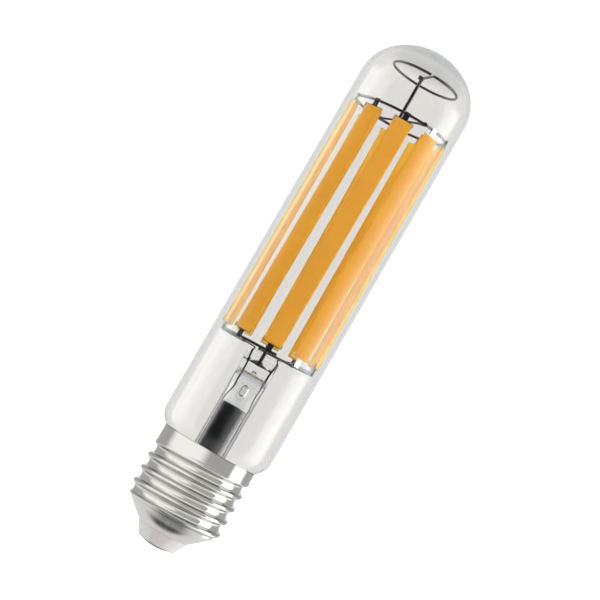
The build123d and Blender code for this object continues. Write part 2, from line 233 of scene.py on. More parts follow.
def press_ring(height, half_width, half_depth):
    """An outline of the press at a height: round where the tube starts, and squarer as it gets flat."""
    flatness = min(max(1 - half_depth / half_width, 0) * 2, 1)
    power = 2 / (2 + (press_squareness - 2) * flatness)
    points = []
    for point in ring(1, height):
        x = math.copysign(abs(point.x) ** power, point.x)
        y = math.copysign(abs(point.y) ** power, point.y)
        points.append(Vector((half_width * x, half_depth * y, height)))
    return points


bend_centre = stem_radius + flare_bend
inner_bend = bend_centre - stem_bore
cavity_top = cavity_half_depths[-1][0]
body_rings = [[Vector((0, 0, cavity_top + 0.03))]]
for step in range(97):
    height = cavity_top + (press_foot - cavity_top) * step / 96
    half_width = between(cavity_half_widths, height)
    body_rings.append(press_ring(height, half_width, between(cavity_half_depths, height)))
inside = run((stem_bore, press_foot), (stem_bore, flare_bottom + inner_bend), 10)
inside += arc((bend_centre, flare_bottom + inner_bend), inner_bend, 180, 270, 12)
inside += [(flare_radius, flare_bottom)]
outside = [(flare_radius, flare_top)] + arc((bend_centre, flare_top + flare_bend), flare_bend, 270, 180, 12)
outside += run(outside[-1], (stem_radius, press_foot), 10)
body_rings += [ring(r, z) for r, z in inside + outside]
for step in range(1, 101):
    height = press_foot + (press_top - press_edge - press_foot) * step / 100
    body_rings.append(press_ring(height, stem_radius, softened(press_half_depths, height)))
for turn in range(10, 100, 10):
    inset = press_edge * (1 - math.cos(math.radians(turn)))
    height = press_top - press_edge + press_edge * math.sin(math.radians(turn))
    body_rings.append(press_ring(height, stem_radius - inset, softened(press_half_depths, height) - inset))
body_rings.append([Vector((0, 0, press_top + 0.05))])

tube = [(0, exhaust_tip)] + arc((0, exhaust_tip + exhaust_radius), exhaust_radius, -80, 0, 8)
tube += run(tube[-1], (exhaust_radius, exhaust_top - exhaust_edge), 6)
tube += arc((exhaust_radius - exhaust_edge, exhaust_top - exhaust_edge), exhaust_edge, 0, 90, 4)
tube += [(0, exhaust_top)]
bore_top = exhaust_top - exhaust_end
bore_foot = exhaust_tip + exhaust_radius
bore = [(0, bore_top)] + arc((0, bore_top - exhaust_bore), exhaust_bore, 80, 0, 6)
bore += run(bore[-1], (exhaust_bore, bore_foot + exhaust_bore), 6)
bore += arc((0, bore_foot + exhaust_bore), exhaust_bore, 0, -80, 6) + [(0, bore_foot)]
hole = [(0, blow_hole_foot + blow_hole_radius)]
hole += arc((0, blow_hole_foot), blow_hole_radius, 80, 0, 8) + [(blow_hole_radius - 0.2, blow_hole_foot - 0.15)]
hole += [(0, blow_hole_foot - 0.2)]
stem_skins = skin(body_rings, *[[ring(r, z) for r, z in profile] for profile in (tube, bore, hole)])
# The stem glass is a little greyer below the can's top. The grey at the crown of the press and the grey band round
# the pinch are painted shade; the pinch's frost is only its roughness.
stem_clear = (0.992, 0.997, 1.0)
stem_grey = (0.93, 0.945, 0.96)
pinch_painted_shade = (0.86, 0.89, 0.92)
crown_painted_shade = (0.70, 0.715, 0.735)
pinch_frost = 0.3
pinch_core = 0.7
pinch_reach = 1.1
stem_glass, stem_shader = glass_material("stem_glass", stem_clear, 300.0, 0.00003)
stem_height = lamp_axis(stem_shader, "Z")
off_pinch = maths(stem_shader, "ABSOLUTE", maths(stem_shader, "SUBTRACT", stem_height, pinch_height * MM))
pinch_share = scaled(stem_shader, off_pinch, pinch_reach * MM, pinch_core * MM)
above_can = scaled(stem_shader, stem_height, 39.0 * MM, 42.0 * MM)
crown_share = scaled(stem_shader, stem_height, 53.6 * MM, press_top * MM)
stem_tint = tinted(stem_shader, above_can, stem_grey, stem_clear)
stem_tint = tinted(stem_shader, crown_share, stem_tint, crown_painted_shade)
stem_tint = tinted(stem_shader, pinch_share, stem_tint, pinch_painted_shade)
set_inputs(stem_shader, Base_Color=stem_tint, Roughness=maths(stem_shader, "MULTIPLY", pinch_share, pinch_frost))
mesh_piece("stem", stem_skins, stem_glass, "clear_glass", "glass_stem", "exhaust_tube")


# Wires of the mount: two leads, the post and the rings.
# Dark oxidised iron-nickel wire, cut and bent cold. The leads are sealed in the press, the post stands
# in it, and every joint between wires is a resistance weld that squashes them into each other.
cage_tilt = math.radians(2.0)
ring_circle = 12.7
ring_wire = 0.7
upper_ring_height = 123.4
lower_ring_height = 55.8


def around(angle, radius, height):
    """A point at an angle in degrees from the front towards +X, a radius from the axis and a height."""
    turn = math.radians(angle)
    return Vector((radius * math.sin(turn), -radius * math.cos(turn), height))


def on_cage(angle, radius, height):
    """Such a point on the cage, which sits a little askew on its post and rises towards +X."""
    point = around(angle, radius, height)
    return point + Vector((0, 0, point.x * math.tan(cage_tilt)))


def toned(shader, share, dark, light, start=0.0, end=1.0):
    """A colour that goes from dark to light as a socket goes from a start to an end."""
    made = add_node(shader, "ShaderNodeValToRGB", Fac=share)
    for stop, place, colour in zip(made.color_ramp.elements, (start, end), (dark, light)):
        stop.position = place
        stop.color = (*colour, 1)
    return made.outputs["Color"]


def wire_material(name, dark, light):
    """Drawn wire under grey oxide, worn brighter in streaks along it."""
    material, shader = new_material(name, Metallic=1.0)
    streaks = grain(shader, 900.0, 3.0, (1, 1, 0.15), 0.6)
    set_inputs(shader, Base_Color=toned(shader, streaks, dark, light, 0.3, 0.75))
    set_inputs(shader, Roughness=scaled(shader, streaks, 0.0, 1.0, 0.24, 0.42))
    add_bump(shader, streaks, 0.5, 0.00002)
    return material


# The mount's wires are all one oxidised wire. The post's tones are its own; the cross bar's darker tones are
# painted shade, and the rings' lighter tones a painted sheen.
post_metal = wire_material("oxidised_wire", (0.12, 0.13, 0.138), (0.21, 0.223, 0.233))
bar_shaded_metal = wire_material("shaded_bar_wire", (0.05, 0.055, 0.06), (0.10, 0.107, 0.113))
ring_sheen_metal = wire_material("ring_wire", (0.31, 0.35, 0.37), (0.45, 0.49, 0.51))


def bent(points, reach):
    """A wire's route with each corner given a tight bend that starts a reach from it."""
    route = [points[0]]
    for before, corner, after in zip(points, points[1:], points[2:]):
        route.append(corner + (before - corner).normalized() * reach)
        route.append(corner)
        route.append(corner + (after - corner).normalized() * reach)
    return route + [points[-1]]


def wire_piece(name, diameter, metal, node, *routes, closed=False, welds=()):
    """Round wire along one or more routes in millimetres, drawn as a NURBS tube with filled ends.

    A weld names a route, the points where it has spread the wire, and how much thicker the wire is there.
    """
    curve = bpy.data.curves.new(name, "CURVE")
    curve.dimensions = "3D"
    curve.bevel_depth = diameter / 2 * MM
    curve.bevel_resolution = 5
    curve.resolution_u = 8
    curve.use_fill_caps = True
    for route in routes:
        spline = curve.splines.new("NURBS")
        spline.points.add(len(route) - 1)
        for point, place in zip(spline.points, route):
            point.co = (*(place * MM), 1)
        spline.use_cyclic_u = closed
        spline.use_endpoint_u = not closed
        spline.order_u = 3
    for route, first, last, size in welds:
        for point in curve.splines[route].points[first:last]:
            point.radius = size
    drawn = bpy.data.objects.new(f"{name}_route", curve)
    tube = drawn.to_mesh()
    skins = ([v.co.copy() for v in tube.vertices], [list(p.vertices) for p in tube.polygons])
    drawn.to_mesh_clear()
    bpy.data.objects.remove(drawn)
    mesh_piece(name, skins, metal, "dark_wire", node)


lead_diameter = 0.4
lead_bend = 0.6
lead_heights = (19.2, 41.0, 44.5, 50.5, 55.3)
lead_radii = {"a": (3.63, 3.63, 2.65, 2.75, 3.15), "b": (3.63, 3.63, 3.2, 3.3, 3.6)}
half_ring_lead_end = 30.0
half_ring_free_end = 191.0
for name, side in (("a", 180), ("b", 0)):
    half_ring = []
    for step in range(33):
        angle = half_ring_lead_end + (half_ring_free_end - half_ring_lead_end) * step / 32
        half_ring.append(on_cage(angle + side, ring_circle, lower_ring_height))
    wire_piece(f"half_ring_{name}", ring_wire, ring_sheen_metal, f"lower_half_ring_{name}", half_ring)
    lead = [around(90 + side, radius, height) for radius, height in zip(lead_radii[name], lead_heights)]
    lead.append(on_cage(half_ring_lead_end + 2 + side, ring_circle - 0.2, lower_ring_height))
    wire_piece(f"lead_{name}", lead_diameter, post_metal, f"lead_wire_{name}", bent(lead, lead_bend))

post_diameter = 0.95
post_foot = Vector((-0.15, 0, 51.7))
post_head = Vector((-0.55, 0, 135.6))
post_route = [post_foot, post_foot.lerp(post_head, 0.5), post_head]
head_ends = [post_head + Vector((x, 0, 0)) for x in (-0.95, -0.2, 0.55)]
head_weld = (1, 0, 3, 1.25)
wire_piece("post", post_diameter, post_metal, "support_post", post_route, head_ends, welds=(head_weld,))

centring_diameter = 0.68
centring_circle = 9.15
centring_shift = Vector((0.4, 0, 0))
centring_turn = 350.5
link_angle = 8.0
centring = [post_head + Vector((0.2, -0.1, 0.0)), post_head + around(link_angle, 1.4, 0)]
centring.append(around(link_angle, centring_circle - 1.3, post_head.z) + centring_shift)
centring.append(around(link_angle + 0.8, centring_circle - 0.2, post_head.z) + centring_shift)
for step in range(49):
    angle = link_angle + 5 + centring_turn * step / 48
    centring.append(around(angle, centring_circle, post_head.z) + centring_shift)
wire_piece("centring_ring_wire", centring_diameter, post_metal, "centring_ring", centring)

upper_ring = [on_cage(360 * step / 64, ring_circle, upper_ring_height) for step in range(64)]
wire_piece("upper_ring", ring_wire, ring_sheen_metal, "upper_collector_ring", upper_ring, closed=True)
bar_diameter = 0.58
bar_angle = 26.0
bar_past_ring = 0.4
bar_ends = [on_cage(bar_angle + turn, ring_circle + bar_past_ring, upper_ring_height) for turn in (0, 180)]
bar_route = [bar_ends[0].lerp(bar_ends[1], share) for share in (0, 0.06, 0.1, 0.5, 0.9, 0.94, 1)]
bar_welds = ((0, 0, 2, 1.9), (0, 5, 7, 1.9))
wire_piece("cross_bar_wire", bar_diameter, bar_shaded_metal, "cross_bar", bar_route, welds=bar_welds)


# Filaments.
# Ten flat strips, each a row of small chips on a glass carrier under a coat of silicone filled with
# yellow-orange phosphor. The coat is dispensed wet, so its edges are round and its width wanders a little.
filament_count = 10
filament_phase = 2.0
filament_circle = 12.85
filament_bottom = 57.6
filament_top = 121.6
filament_width = 5.0
filament_thickness = 1.1
filament_lean = math.radians(0.56)
filament_length = filament_top - filament_bottom
end_levels = [0.0, 0.02, 0.08, 0.2]
end_reach = 0.2
end_ease = 0.12
coat_wander = 0.035


def phosphor_material():
    """Cured phosphor silicone: satin orange and deeper over each chip, with painted light on the strip's inner face
    and a painted sheen where it slants away.
    """
    material, shader = new_material("phosphor_silicone", Roughness=0.42, Specular_IOR_Level=0.35)
    set_inputs(shader, Subsurface_Weight=0.2, Subsurface_Radius=(1.0, 0.75, 0.4), Subsurface_Scale=0.002)
    chips = add_node(shader, "ShaderNodeTexWave", Vector=lamp_place(shader), Scale=115.0, bands_direction="Z")
    chip_share = maths(shader, "MULTIPLY", chips.outputs["Fac"], 0.25)
    depth = maths(shader, "MULTIPLY_ADD", grain(shader, 120.0, 2.0), 0.75, chip_share)
    coat = toned(shader, depth, (0.765, 0.345, 0.0145), (0.80, 0.372, 0.0205), 0.2, 0.8)
    # Painted light: the strip's inner face, shaded inside the cage, is painted paler.
    inner = add_node(shader, "ShaderNodeAttribute", attribute_name="inner_painted_light").outputs["Fac"]
    coat = tinted(shader, inner, coat, (1.0, 0.57, 0.055))
    # Painted sheen: the coat is painted paler where it slants away from the eye.
    facing = add_node(shader, "ShaderNodeLayerWeight", Blend=0.5).outputs["Facing"]
    coat = tinted(shader, scaled(shader, facing, 0.25, 0.75), coat, (0.98, 0.66, 0.115))
    set_inputs(shader, Base_Color=coat)
    add_bump(shader, grain(shader, 2600.0, 3.0), 0.35, 0.00002)
    return material


def filament_place(index, radius):
    """The place of one strip's middle: X across it, Y up along it and Z out of the lamp."""
    angle = filament_phase + index * 360 / filament_count
    outward = around(angle, 1, 0)
    across = around(angle + 90, 1, 0)
    middle = on_cage(angle, filament_circle, (filament_bottom + filament_top) / 2)
    across = across * math.cos(filament_lean) - Vector((0, 0, math.sin(filament_lean)))
    upward = outward.cross(across)
    place = Matrix((across, upward, outward)).transposed().to_4x4()
    place.translation = outward * radius + Vector((0, 0, middle.z))
    return place


def strip_rings(index):
    """Level outlines up one strip: a flat slot with round edges, eased at both ends."""
    place = filament_place(index, filament_circle)
    edge = filament_thickness / 2
    rings = []
    levels = end_levels + [filament_length * step / 40 for step in range(1, 40)]
    levels += [filament_length - level for level in end_levels]
    for level in sorted(levels):
        to_end = min(level, filament_length - level)
        ease = end_ease * (1 - min(to_end / end_reach, 1)) ** 2
        wander = coat_wander * noise.noise(Vector((level * 0.16, index * 7.3, 0)))
        half_width = filament_width / 2 - edge + wander - ease
        points = []
        for end, start in ((1, -90), (-1, 90)):
            for step in range(11):
                turn = math.radians(start + 18 * step)
                x = end * half_width + (edge - ease) * math.cos(turn)
                z = (edge - ease) * math.sin(turn)
                points.append(place @ Vector((x, level - filament_length / 2, -z)))
        rings.append(points)
    middle = [sum(points, Vector()) / len(points) for points in (rings[0], rings[-1])]
    return [[middle[0]]] + rings + [[middle[1]]]


phosphor_silicone = phosphor_material()
half_share = [0.5 + 0.5 * math.sin(math.radians(-90 + 18 * step)) for step in range(11)]
inner_share = half_share + half_share[::-1]
for index in range(filament_count):
    number = f"{index + 1:02d}"
    rings = strip_rings(index)
    strip = mesh_piece(f"strip_{number}", skin(rings), phosphor_silicone, "phosphor_coat", f"filament_{number}")
    inner_sides = [0.5] + inner_share * (len(rings) - 2) + [0.5]
    strip.data.attributes.new("inner_painted_light", "FLOAT", "POINT").data.foreach_set("value", inner_sides)


# End clips of the filaments.
# Stamped from thin plated strip. A cross piece closes the end of the coat, two ears grip its edges, and
# the tongue lies on the outside of a ring, where it is spot welded.
tongue_width = 1.5
clip_thickness = 0.32
clip_height = 0.12
clip_ear = 0.13
clip_grip = 0.9
tongue_past_ring = 0.08
clip_edge = 0.03


def clip_material():
    """Stamped bright plate: a satin skin, with rolling lines along the strip."""
    material, shader = new_material("clip_plate", Metallic=1.0)
    lines = grain(shader, 1500.0, 4.0, (1, 1, 0.08))
    set_inputs(shader, Base_Color=toned(shader, lines, (0.70, 0.70, 0.695), (0.84, 0.84, 0.835)))
    set_inputs(shader, Roughness=scaled(shader, lines, 0.0, 1.0, 0.12, 0.24))
    add_bump(shader, lines, 0.4, 0.00001)
    return material


def clip_piece(name, place, direction, tongue_length, node):
    """One clip at a strip's end, extruded from its outline with its edges eased."""
    end = filament_length / 2
    outer = filament_width / 2 + clip_ear
    half = [
        (tongue_width / 2, tongue_length),
        (tongue_width / 2, clip_height + 0.2),
        (tongue_width / 2 + 0.2, clip_height),
        (outer, clip_height),
        (outer, -clip_grip),
        (outer - clip_ear, -clip_grip),
        (outer - clip_ear, 0),
    ]
    outline = half + [(-x, y) for x, y in reversed(half)]
    shape = bmesh.new()
    corners = []
    for x, y in outline:
        corners.append(shape.verts.new(Vector((x, direction * (end + y), -clip_thickness / 2))))
    face = shape.faces.new(corners)
    swept = bmesh.ops.extrude_face_region(shape, geom=[face])["geom"]
    lifted = [item for item in swept if isinstance(item, bmesh.types.BMVert)]
    bmesh.ops.translate(shape, verts=lifted, vec=(0, 0, clip_thickness))
    bmesh.ops.recalc_face_normals(shape, faces=shape.faces)
    bmesh.ops.bevel(shape, geom=shape.edges[:], offset=clip_edge, segments=2, profile=0.5, affect="EDGES")
    bmesh.ops.transform(shape, matrix=Matrix.Scale(MM, 4) @ place, verts=shape.verts)
    shape.verts.index_update()
    skins = ([v.co.copy() for v in shape.verts], [[v.index for v in f.verts] for f in shape.faces])
    shape.free()
    mesh_piece(name, skins, clip_plate, "clip_metal", node, sharp=20)


clip_plate = clip_material()
clip_circle = ring_circle + ring_wire / 2 + clip_thickness / 2
for index in range(filament_count):
    place = filament_place(index, clip_circle)
    for end_name, direction, reach in (
        ("upper", 1, upper_ring_height - filament_top),
        ("lower", -1, filament_bottom - lower_ring_height),
    ):
        tongue_length = reach + ring_wire / 2 + tongue_past_ring
        number = f"{index + 1:02d}"
        clip_piece(f"{end_name}_clip_{number}", place, direction, tongue_length, f"{end_name}_tab_{number}")


# Glass envelope.
# A drawn clear tube whose top is blown to a dome in a mould and whose foot is drawn in to a neck. The
# neck is melted on to the stem's flare, and sits in the cap's collar.
tube_radius = 15.1
glass_wall = 1.0
dome_base = 129.8
dome_rise = 13.1
dome_corner = 12.0
shoulder_top = 32.2
shoulder_radius = 12.9
shoulder_bore = 12.15
shoulder_inside = 27.75
neck_radius = 12.3
collar_top = 27.7
neck_end = 25.0


def shoulder(outer, top, inner, bottom, steps):
    """An arc that leaves the tube upright and draws in to the neck, from its foot up."""
    radius = ((outer - inner) ** 2 + (top - bottom) ** 2) / (2 * (outer - inner))
    foot = math.degrees(math.asin((top - bottom) / radius))
    return arc((outer - radius, top), radius, -foot, 0, steps)


def dome(inset, steps):
    """The dome's profile from the tube to its top: a tight corner that runs into a flatter crown."""
    corner_centre = tube_radius - dome_corner
    crown = (corner_centre**2 + dome_rise**2 - dome_corner**2) / (2 * (dome_rise - dome_corner))
    crown_centre = dome_base + dome_rise - crown
    join = math.degrees(math.atan2(crown - dome_rise, corner_centre))
    profile = arc((corner_centre, dome_base), dome_corner - inset, 0, join, steps)
    profile += arc((0, crown_centre), crown - inset, join, 88, steps)[1:]
    return profile + [(0, dome_base + dome_rise - inset)]


outer_wall = [(neck_radius, neck_end), (neck_radius, collar_top)]
outer_wall += shoulder(tube_radius, shoulder_top, shoulder_radius, collar_top, 16)
outer_wall += run(outer_wall[-1], (tube_radius, dome_base), 24)[:-1]
outer_wall += dome(0, 20)
bore_radius = tube_radius - glass_wall
neck_bore = neck_radius - glass_wall
inner_wall = [(neck_bore, neck_end), (neck_bore, 26.4), (neck_bore + 0.2, 26.9)]
inner_wall += shoulder(bore_radius, shoulder_top, shoulder_bore, shoulder_inside, 16)
inner_wall += run(inner_wall[-1], (bore_radius, dome_base), 24)[:-1]
inner_wall += dome(glass_wall, 20)
wall = list(reversed(inner_wall)) + outer_wall
envelope_clear = (0.915, 0.91, 0.895)
# The top of the dome is tinted grey: painted shade on the clear glass.
dome_painted_shade = (0.70, 0.712, 0.712)
envelope_glass, envelope_shader = glass_material("envelope_glass", envelope_clear, 45.0, 0.00001)
dome_share = scaled(envelope_shader, lamp_axis(envelope_shader, "Z"), 137.5 * MM, 139.5 * MM)
set_inputs(envelope_shader, Base_Color=tinted(envelope_shader, dome_share, envelope_clear, dome_painted_shade))
envelope_rings = [ring(r, z, 160) for r, z in wall]
mesh_piece("envelope", skin(envelope_rings), envelope_glass, "clear_glass", "glass_envelope", sharp=30)


# Smoothing capacitor of the driver.
# A drawn aluminium can in a black shrunk sleeve, which rolls over its top edge and leaves the scored
# vent bare. It stands on the board and reaches up into the stem.
can_radius = 3.35
can_foot = 19.2
can_top = 39.9


def sleeve_material():
    """Black shrunk sleeve, with the faint pulls that the heat leaves in it."""
    material, shader = new_material("shrunk_sleeve", Roughness=0.2, Specular_IOR_Level=1.0)
    set_inputs(shader, Coat_Weight=1.0, Coat_Roughness=0.2, Coat_IOR=1.8)
    pulls = grain(shader, 420.0, 3.0, (1, 1, 0.3))
    set_inputs(shader, Base_Color=toned(shader, pulls, (0.011, 0.012, 0.014), (0.022, 0.023, 0.026)))
    add_bump(shader, pulls, 0.3, 0.00005)
    return material


sleeve = [(0, can_foot), (1.2, can_foot), (1.2, can_foot + 0.3), (can_radius - 0.2, can_foot + 0.3)]
sleeve += [(can_radius, can_foot + 0.5), (can_radius, can_foot + 1.9)]
sleeve += [(can_radius - 0.3, can_foot + 2.4), (can_radius - 0.3, can_foot + 2.8), (can_radius, can_foot + 3.3)]
sleeve += run(sleeve[-1], (can_radius, can_top - 0.4), 10)
sleeve += arc((can_radius - 0.4, can_top - 0.4), 0.4, 0, 90, 6)
sleeve += [(can_radius - 0.9, can_top), (can_radius - 1.0, can_top - 0.12), (0, can_top - 0.12)]
can_rings = [ring(r, z, 64) for r, z in sleeve]
mesh_piece("capacitor", skin(can_rings), sleeve_material(), "black_sleeve", "smoothing_capacitor")


# Driver board and its parts, inside the cap.
# A round board of glass fibre under green mask carries a rectifier, a chip, a drum inductor and a fuse
# resistor, soldered by hand. None of it shows once the cap is on.
def spotted_material(name, dark, light, scale, roughness, metallic=0.0):
    """A finish whose colour wanders between two tones, for a part that is moulded, dipped or wound."""
    material, shader = new_material(name, Metallic=metallic, Roughness=roughness)
    spots = grain(shader, scale, 4.0)
    set_inputs(shader, Base_Color=toned(shader, spots, dark, light, 0.3, 0.7))
    add_bump(shader, spots, 0.3, 0.00003)
    return material


def finish_node(material, *nodes):
    """Gives CAD nodes that keep their own shape a finish."""
    for node in nodes:
        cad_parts[node].material_slots[0].material = material


finish_node(spotted_material("solder_mask", (0.012, 0.10, 0.04), (0.02, 0.14, 0.055), 700, 0.35), "driver_board")
finish_node(spotted_material("moulded_chip", (0.012, 0.012, 0.013), (0.03, 0.03, 0.031), 2500, 0.6),
            "rectifier", "driver_ic")
finish_node(spotted_material("enamelled_winding", (0.16, 0.06, 0.02), (0.35, 0.14, 0.05), 1200, 0.35), "inductor")
finish_node(spotted_material("dipped_resistor", (0.30, 0.21, 0.12), (0.38, 0.28, 0.17), 900, 0.45), "fuse_resistor")
finish_node(spotted_material("tinned_copper", (0.45, 0.45, 0.43), (0.62, 0.62, 0.6), 900, 0.3, 1.0), "shell_lead")


# Basing cement.
# A ring of thermosetting resin and stone powder, squeezed between the neck and the collar and baked.
finish_node(spotted_material("baked_cement", (0.62, 0.59, 0.54), (0.76, 0.73, 0.68), 500, 0.8), "basing_cement")


# Screw shell of the cap.
# Thin sheet, drawn to a cup and rolled with a rounded right-hand thread, then nickel plated bright. The
# collar's lower edge runs into the first turn, and the mouth is drawn in over the insulator.
collar_radius = 12.9
shell_wall = 0.3
thread_pitch = 3.629
thread_crest = 13.05
thread_root = 11.95
crest_round = 0.65
front_crest = 9.1
mouth_radius = 7.1
mouth_height = 4.05
collar_crest = front_crest + 4 * thread_pitch
collar_climb = 0.9
collar_turn = 110
# The collar's top edge is painted darker, a painted shadow under the glass.
rim_shade_start = 27.35
rim_shade_end = 27.6
rim_shade = 0.6
mouth_slope = 1.26
mouth_curve = 0.03
corner_reach = 0.4
# Dark lines of painted shade on the flanks: offsets from the crest in millimetres, with their tones.
flank_shade_lines = ((-1.1, 1.0), (-0.75, 0.66), (-0.55, 0.66), (-0.2, 1.0))
flank_shade_lines += ((0.15, 1.0), (0.45, 0.56), (0.6, 0.56), (0.95, 1.0))
thread_half = thread_pitch / 2
flank = 2 * math.atan2(thread_crest - thread_root, thread_half)
root_round = thread_half / math.sin(flank) - crest_round


def nickel_material():
    """Bright nickel plate with fine rings from spinning, painted shade in dark lines along the thread's flanks and
    a painted shadow along the collar's top edge.
    """
    material, shader = new_material("bright_nickel", Metallic=1.0)
    haze = grain(shader, 190.0, 3.0)
    plate = toned(shader, haze, (0.70, 0.695, 0.66), (0.78, 0.775, 0.74))
    x, y, z = [lamp_axis(shader, axis) for axis in "XYZ"]
    turn = maths(shader, "ARCTAN2", x, maths(shader, "MULTIPLY", y, -1.0))
    climbed = maths(shader, "MULTIPLY_ADD", turn, -thread_pitch * MM / (2 * math.pi), z)
    low, high = [(front_crest + half) * MM for half in (-thread_half, thread_half)]
    from_crest = maths(shader, "WRAP", climbed, high, low)
    # Painted shade: the dark lines run along the thread's flanks, and stay off the cone and the collar.
    flank_shade = add_node(shader, "ShaderNodeValToRGB", Fac=scaled(shader, from_crest, low, high))
    stops = flank_shade.color_ramp.elements
    flank_shade.color_ramp.interpolation = "EASE"
    stops.remove(stops[1])
    stops[0].color = (1, 1, 1, 1)
    for offset, tone in flank_shade_lines:
        stops.new(0.5 + offset / thread_pitch).color = (tone, tone, tone, 1)
    on_collar = maths(shader, "GREATER_THAN", climbed, (collar_crest + 0.1) * MM)
    from_axis = add_node(shader, "ShaderNodeVectorMath", operation="LENGTH", Vector=lamp_place(shader, (1, 1, 0)))
    on_cone = scaled(shader, from_axis.outputs["Value"], 12.1 * MM, 11.8 * MM)
    shade = maths(shader, "MAXIMUM", flank_shade.outputs["Color"], maths(shader, "MAXIMUM", on_cone, on_collar))
    # Painted shadow along the collar's top edge.
    rim = scaled(shader, z, rim_shade_start * MM, rim_shade_end * MM, 1.0, rim_shade)
    shade = maths(shader, "MULTIPLY", shade, rim)
    tone = add_node(shader, "ShaderNodeVectorMath", operation="SCALE", Vector=plate, Scale=shade)
    set_inputs(shader, Base_Color=tone.outputs["Vector"], Roughness=scaled(shader, haze, 0.0, 1.0, 0.07, 0.15))
    add_bump(shader, grain(shader, 260.0, 5.0, (0.12, 0.12, 14.0), 0.65), 0.12, 0.000003)
    return material


def thread_radius(angle, height):
    """The rolled thread's radius: crests and roots are arcs that meet at their flanks."""
    turns = (height - front_crest) / thread_pitch - angle / 360
    off_crest = abs(turns - round(turns)) * thread_pitch
    if off_crest <= crest_round * math.sin(flank):
        return thread_crest - crest_round + math.sqrt(crest_round**2 - off_crest**2)
    off_root = thread_half - off_crest
    return thread_root + root_round - math.sqrt(root_round**2 - off_root**2)


def smooth_min(a, b, reach):
    """The smaller of two radii, with the corner between them rounded over a reach."""
    share = max(reach - abs(a - b), 0) / reach
    return min(a, b) - share * share * reach / 4


def collar_edge(angle):
    """The height where the top crest becomes the collar. It climbs with the thread and steps down at the back."""
    turn = (angle + 180) % 360 - 180
    fall = max(abs(turn) - collar_turn, 0) * collar_turn / (180 - collar_turn)
    return collar_crest + thread_pitch / 360 * math.copysign(min(abs(turn), collar_turn) - fall, turn)


def shell_radius(angle, height):
    """The shell's outside: the drawn-in mouth, the thread, and the collar above the top crest."""
    rise = height - mouth_height
    cone = mouth_radius + mouth_slope * rise - mouth_curve * rise * rise
    past_edge = height - collar_edge(angle)
    if past_edge >= 0:
        share = min(past_edge / collar_climb, 1)
        collar = thread_crest + (collar_radius - thread_crest) * share * share * (3 - 2 * share)
        return smooth_min(cone, collar, corner_reach)
    climb = max(1 + past_edge / collar_climb, 0)
    foot = thread_root + (thread_crest - thread_root) * math.sin(climb * math.pi / 2)
    return smooth_min(cone, max(thread_radius(angle, height), foot), corner_reach)


shell_columns = 160


def shell_wall_mesh(inset, pitch_rows):
    """One face of the shell as a grid that climbs with the thread, cut level at the mouth and the rim."""
    total = math.ceil((collar_top - mouth_height) / thread_pitch * pitch_rows)
    places = []
    for row in range(-pitch_rows, total + 1):
        for column in range(shell_columns):
            turn = column / shell_columns
            height = mouth_height + (row / pitch_rows + turn) * thread_pitch
            height = min(max(height, mouth_height), collar_top)
            angle = 360 * turn
            places.append(around(angle, shell_radius(angle, height) - inset, height) * MM)
    rows = len(places) // shell_columns
    quads = []
    for row in range(rows - 1):
        for column in range(shell_columns):
            a, d = row * shell_columns + column, (row + 1) * shell_columns + column
            if column < shell_columns - 1:
                quads.append((a, a + 1, d + 1, d))
            elif row + 1 + pitch_rows < rows:
                b = (row + pitch_rows) * shell_columns
                quads.append((a, b, b + shell_columns, d))
    return places, quads


join_reach = 0.000004
shell = bmesh.new()
for inset, pitch_rows in ((0, 32), (shell_wall, 12)):
    places, quads = shell_wall_mesh(inset, pitch_rows)
    corners = [shell.verts.new(place) for place in places]
    for quad in quads:
        quad = quad if inset == 0 else reversed(quad)
        shell.faces.new([corners[i] for i in quad])
bmesh.ops.remove_doubles(shell, verts=shell.verts, dist=join_reach)
bmesh.ops.bridge_loops(shell, edges=[e for e in shell.edges if e.is_boundary and e.verts[0].co.z < 0.01])
bmesh.ops.bridge_loops(shell, edges=[e for e in shell.edges if e.is_boundary and e.verts[0].co.z > 0.02])
bmesh.ops.recalc_face_normals(shell, faces=shell.faces)
shell.verts.index_update()
shell_skins = ([v.co.copy() for v in shell.verts], [[v.index for v in f.verts] for f in shell.faces])
shell.free()
mesh_piece("screw_shell", shell_skins, nickel_material(), "nickel_plate", "cap_shell")


# Cap insulator.
# A pale cone of moulded resin that fills the shell's mouth and keeps the contact apart from the shell.
insulator_foot_radius = 5.1
insulator_foot = 0.42
insulator_edge = 0.12
rivet_radius = 1.1
rivet_seat = 4.0


def insulator_material():
    """Moulded resin: pale, slightly pink and glossy, with a faint cloud of filler."""
    material, shader = new_material("moulded_resin", Roughness=0.14, Specular_IOR_Level=1.0)
    filler = grain(shader, 380.0, 4.0)
    set_inputs(shader, Base_Color=toned(shader, filler, (0.325, 0.301, 0.301), (0.38, 0.354, 0.354)))
    add_bump(shader, filler, 0.15, 0.00002)
    return material


cone = [(rivet_radius, rivet_seat), (rivet_radius, insulator_foot)]
cone += [(insulator_foot_radius - insulator_edge, insulator_foot)]
cone += arc((cone[-1][0], insulator_foot + insulator_edge), insulator_edge, -90, -30, 5)
cone += run(cone[-1], (mouth_radius - 0.12, mouth_height), 8)
cone += [(mouth_radius - shell_wall, mouth_height + 0.05), (9.6, 7.2), (8.4, 7.4)]
cone += [(2.7, rivet_seat), (rivet_radius, rivet_seat)]
cone_rings = [ring(r, z) for r, z in cone]
mesh_piece("insulator", skin(cone_rings), insulator_material(), "pale_insulator", "cap_insulator")


# Centre contact.
# A pressed disc of plated brass with its edge turned up, riveted through the insulator. The wire from
# the fuse resistor is soldered into the rivet.
contact_radius = 4.1
contact_flat = 3.3
rivet_top = 4.6
